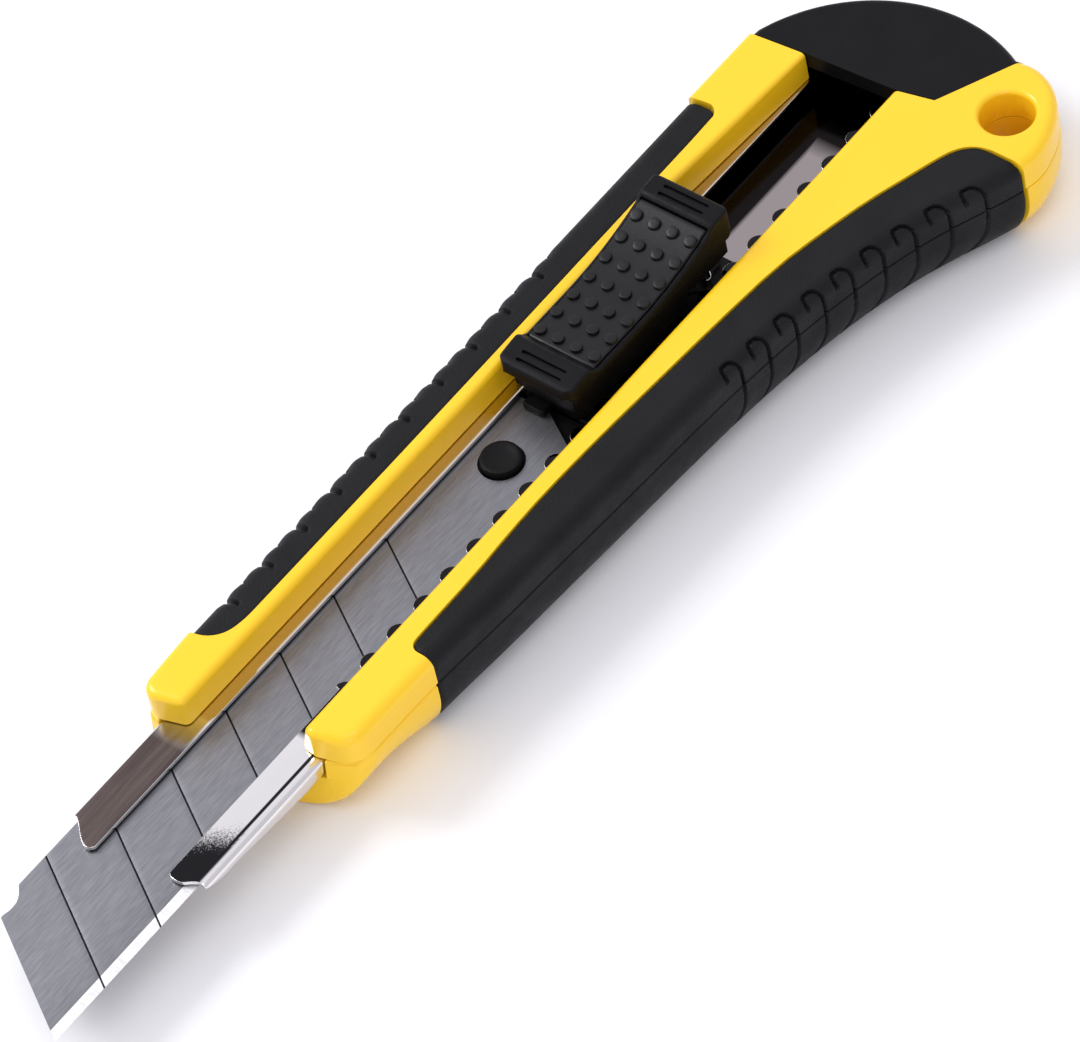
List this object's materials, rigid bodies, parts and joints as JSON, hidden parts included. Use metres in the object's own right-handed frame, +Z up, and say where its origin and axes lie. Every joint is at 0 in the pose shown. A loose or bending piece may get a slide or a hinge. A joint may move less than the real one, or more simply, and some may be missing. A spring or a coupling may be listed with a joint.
{
  "type": "snap-off knife",
  "caption": "Retractable snap-off utility knife: wide scored blade in a steel channel, thumb slider with click lock, soft-grip handle, pull-off end cap and lanyard eye.",
  "frame": {"origin": "on the flat underside of the handle, below the centre line of the blade, 109 mm behind the blade's tip", "axes": "+X along the blade towards its tip, +Y from the blade's spine towards its cutting edge, +Z up through the thickness, out of the side that has the thumb slider"},
  "size_m": [0.1757, 0.043, 0.0182],
  "materials": {
    "yellow_abs": "satin moulded",
    "black_tpr": "fine matte",
    "black_plastic": "fine matte",
    "channel_steel": "bright, lightly brushed",
    "blade_steel": "ground lengthwise",
    "spring_steel": "bright"
  },
  "bodies": {
    "handle": {"body_upper_shell": "yellow_abs", "body_lower_shell": "yellow_abs", "spine_grip_upper": "black_tpr", "spine_grip_lower": "black_tpr", "finger_grip_upper": "black_tpr", "finger_grip_lower": "black_tpr", "blade_channel": "channel_steel"},
    "blade_carriage": {"snap_blade": "blade_steel", "blade_carrier": "black_plastic", "thumb_slider": "black_plastic", "thumb_pad": "black_tpr"},
    "lock_pawl": {"lock_spring": "spring_steel"},
    "cap": {"end_cap": "black_plastic"}
  },
  "joints": [
    {"name": "blade_slide", "type": "slide", "parent": "handle", "child": "blade_carriage", "axis": [1, 0, 0], "range_m": [-0.025, 0.045]},
    {"name": "lock_click", "type": "slide", "parent": "blade_carriage", "child": "lock_pawl", "axis": [0, 1, 0], "range_m": [0, 0.001], "stiffness_N_per_m": 800},
    {"name": "cap_pull", "type": "slide", "parent": "handle", "child": "cap", "axis": [-1, 0, 0], "range_m": [0, 0.014]}
  ]
}
